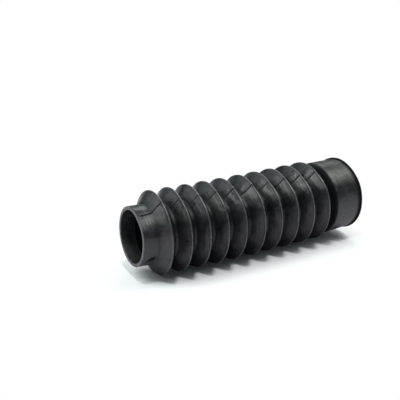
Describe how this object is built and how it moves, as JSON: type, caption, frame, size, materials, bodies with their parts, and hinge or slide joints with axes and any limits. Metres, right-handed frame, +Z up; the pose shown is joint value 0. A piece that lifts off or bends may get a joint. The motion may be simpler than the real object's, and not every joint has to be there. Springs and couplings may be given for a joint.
{
  "type": "fork gaiter",
  "caption": "Soft black rubber fork gaiter: a long bellows of sharp folds with a plain narrow cuff at one end and a wide lipped cuff at the other, lying on its side.",
  "frame": {"origin": "on the floor, under the middle of the gaiter as it lies on its side", "axes": "+X along the gaiter from the narrow cuff to the wide one, +Z up from the floor"},
  "size_m": [0.1694, 0.0558, 0.0557],
  "materials": {
    "rubber": "moulded black rubber, satin on the cuffs and the upper flanks, duller and slightly rough in the folds"
  },
  "bodies": {
    "root": {"gaiter": "rubber"}
  },
  "joints": []
}
